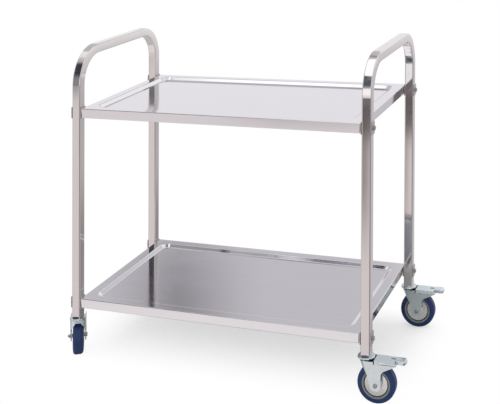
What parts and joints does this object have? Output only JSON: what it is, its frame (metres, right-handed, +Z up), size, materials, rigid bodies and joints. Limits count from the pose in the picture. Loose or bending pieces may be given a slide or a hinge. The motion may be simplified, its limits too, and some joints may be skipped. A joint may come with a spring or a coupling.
{
  "type": "serving trolley",
  "caption": "Tiered serving trolley: pressed metal trays between bent square-tube ends that form push handles, on swivel casters with foot brakes.",
  "frame": {"origin": "on the floor, under the middle of the whole trolley's box", "axes": "+X along the trolley to the end with the braked casters, +Y from its front long side to the rear one, +Z up"},
  "size_m": [0.9746, 0.473, 0.85],
  "materials": {
    "tube_steel": "polished stainless tube",
    "tray_steel": "mirror-polished stainless sheet",
    "clamp_steel": "polished stainless plate",
    "bolt_steel": "plain bright steel",
    "zinc_steel": "bright zinc plating",
    "insert_plastic": "moulded nylon",
    "tyre_rubber": "smooth navy elastomer",
    "core_plastic": "moulded grey nylon",
    "cover_steel": "bright pressed disc",
    "shoe_rubber": "black rubber"
  },
  "bodies": {
    "frame": {"left_end_frame": "tube_steel", "right_end_frame": "tube_steel", "upper_tray": "tray_steel", "lower_tray": "tray_steel", "upper_tray_rib": "tray_steel", "lower_tray_rib": "tray_steel", "upper_clamp_plates": "clamp_steel", "lower_clamp_plates": "clamp_steel", "clamp_bolts": "bolt_steel", "clamp_washers": "bolt_steel", "clamp_nuts": "bolt_steel", "leg_inserts": "insert_plastic", "caster_stems": "zinc_steel", "swivel_cups": "zinc_steel"},
    "swivel_front_left": {"front_left_swivel_race": "bolt_steel", "front_left_fork": "zinc_steel", "front_left_axle_bolt": "bolt_steel", "front_left_axle_nut": "bolt_steel", "front_left_axle_sleeve": "bolt_steel"},
    "wheel_front_left": {"front_left_tyre": "tyre_rubber", "front_left_wheel_core": "core_plastic", "front_left_wheel_bearings": "bolt_steel", "front_left_hub_covers": "cover_steel"},
    "pedal_front_right": {"front_right_brake_pedal": "zinc_steel", "front_right_brake_shoe": "shoe_rubber"},
    "swivel_front_right": {"front_right_swivel_race": "bolt_steel", "front_right_fork": "zinc_steel", "front_right_axle_bolt": "bolt_steel", "front_right_axle_nut": "bolt_steel", "front_right_axle_sleeve": "bolt_steel", "front_right_brake_pin": "zinc_steel"},
    "wheel_front_right": {"front_right_tyre": "tyre_rubber", "front_right_wheel_core": "core_plastic", "front_right_wheel_bearings": "bolt_steel", "front_right_hub_covers": "cover_steel"},
    "swivel_rear_left": {"rear_left_swivel_race": "bolt_steel", "rear_left_fork": "zinc_steel", "rear_left_axle_bolt": "bolt_steel", "rear_left_axle_nut": "bolt_steel", "rear_left_axle_sleeve": "bolt_steel"},
    "wheel_rear_left": {"rear_left_tyre": "tyre_rubber", "rear_left_wheel_core": "core_plastic", "rear_left_wheel_bearings": "bolt_steel", "rear_left_hub_covers": "cover_steel"},
    "pedal_rear_right": {"rear_right_brake_pedal": "zinc_steel", "rear_right_brake_shoe": "shoe_rubber"},
    "swivel_rear_right": {"rear_right_swivel_race": "bolt_steel", "rear_right_fork": "zinc_steel", "rear_right_axle_bolt": "bolt_steel", "rear_right_axle_nut": "bolt_steel", "rear_right_axle_sleeve": "bolt_steel", "rear_right_brake_pin": "zinc_steel"},
    "wheel_rear_right": {"rear_right_tyre": "tyre_rubber", "rear_right_wheel_core": "core_plastic", "rear_right_wheel_bearings": "bolt_steel", "rear_right_hub_covers": "cover_steel"}
  },
  "joints": [
    {"name": "front_left_swivel", "type": "hinge", "parent": "frame", "child": "swivel_front_left", "pos_m": [-0.43965, -0.2125, 0.107], "axis": [0, 0, 1], "continuous": true},
    {"name": "front_left_roll", "type": "hinge", "parent": "swivel_front_left", "child": "wheel_front_left", "pos_m": [-0.45365, -0.18825, 0.049], "axis": [-0.866, -0.5, 0], "continuous": true},
    {"name": "front_right_swivel", "type": "hinge", "parent": "frame", "child": "swivel_front_right", "pos_m": [0.38535, -0.2125, 0.107], "axis": [0, 0, 1], "continuous": true},
    {"name": "front_right_roll", "type": "hinge", "parent": "swivel_front_right", "child": "wheel_front_right", "pos_m": [0.41335, -0.2125, 0.049], "axis": [0, 1, 0], "continuous": true},
    {"name": "front_right_brake", "type": "hinge", "parent": "swivel_front_right", "child": "pedal_front_right", "pos_m": [0.42135, -0.2125, 0.1025], "axis": [0, 1, 0], "range_deg": [0, 12]},
    {"name": "rear_left_swivel", "type": "hinge", "parent": "frame", "child": "swivel_rear_left", "pos_m": [-0.43965, 0.2125, 0.107], "axis": [0, 0, 1], "continuous": true},
    {"name": "rear_left_roll", "type": "hinge", "parent": "swivel_rear_left", "child": "wheel_rear_left", "pos_m": [-0.45365, 0.18825, 0.049], "axis": [0.866, -0.5, 0], "continuous": true},
    {"name": "rear_right_swivel", "type": "hinge", "parent": "frame", "child": "swivel_rear_right", "pos_m": [0.38535, 0.2125, 0.107], "axis": [0, 0, 1], "continuous": true},
    {"name": "rear_right_roll", "type": "hinge", "parent": "swivel_rear_right", "child": "wheel_rear_right", "pos_m": [0.41335, 0.2125, 0.049], "axis": [0, 1, 0], "continuous": true},
    {"name": "rear_right_brake", "type": "hinge", "parent": "swivel_rear_right", "child": "pedal_rear_right", "pos_m": [0.42135, 0.2125, 0.1025], "axis": [0, 1, 0], "range_deg": [0, 12]}
  ]
}
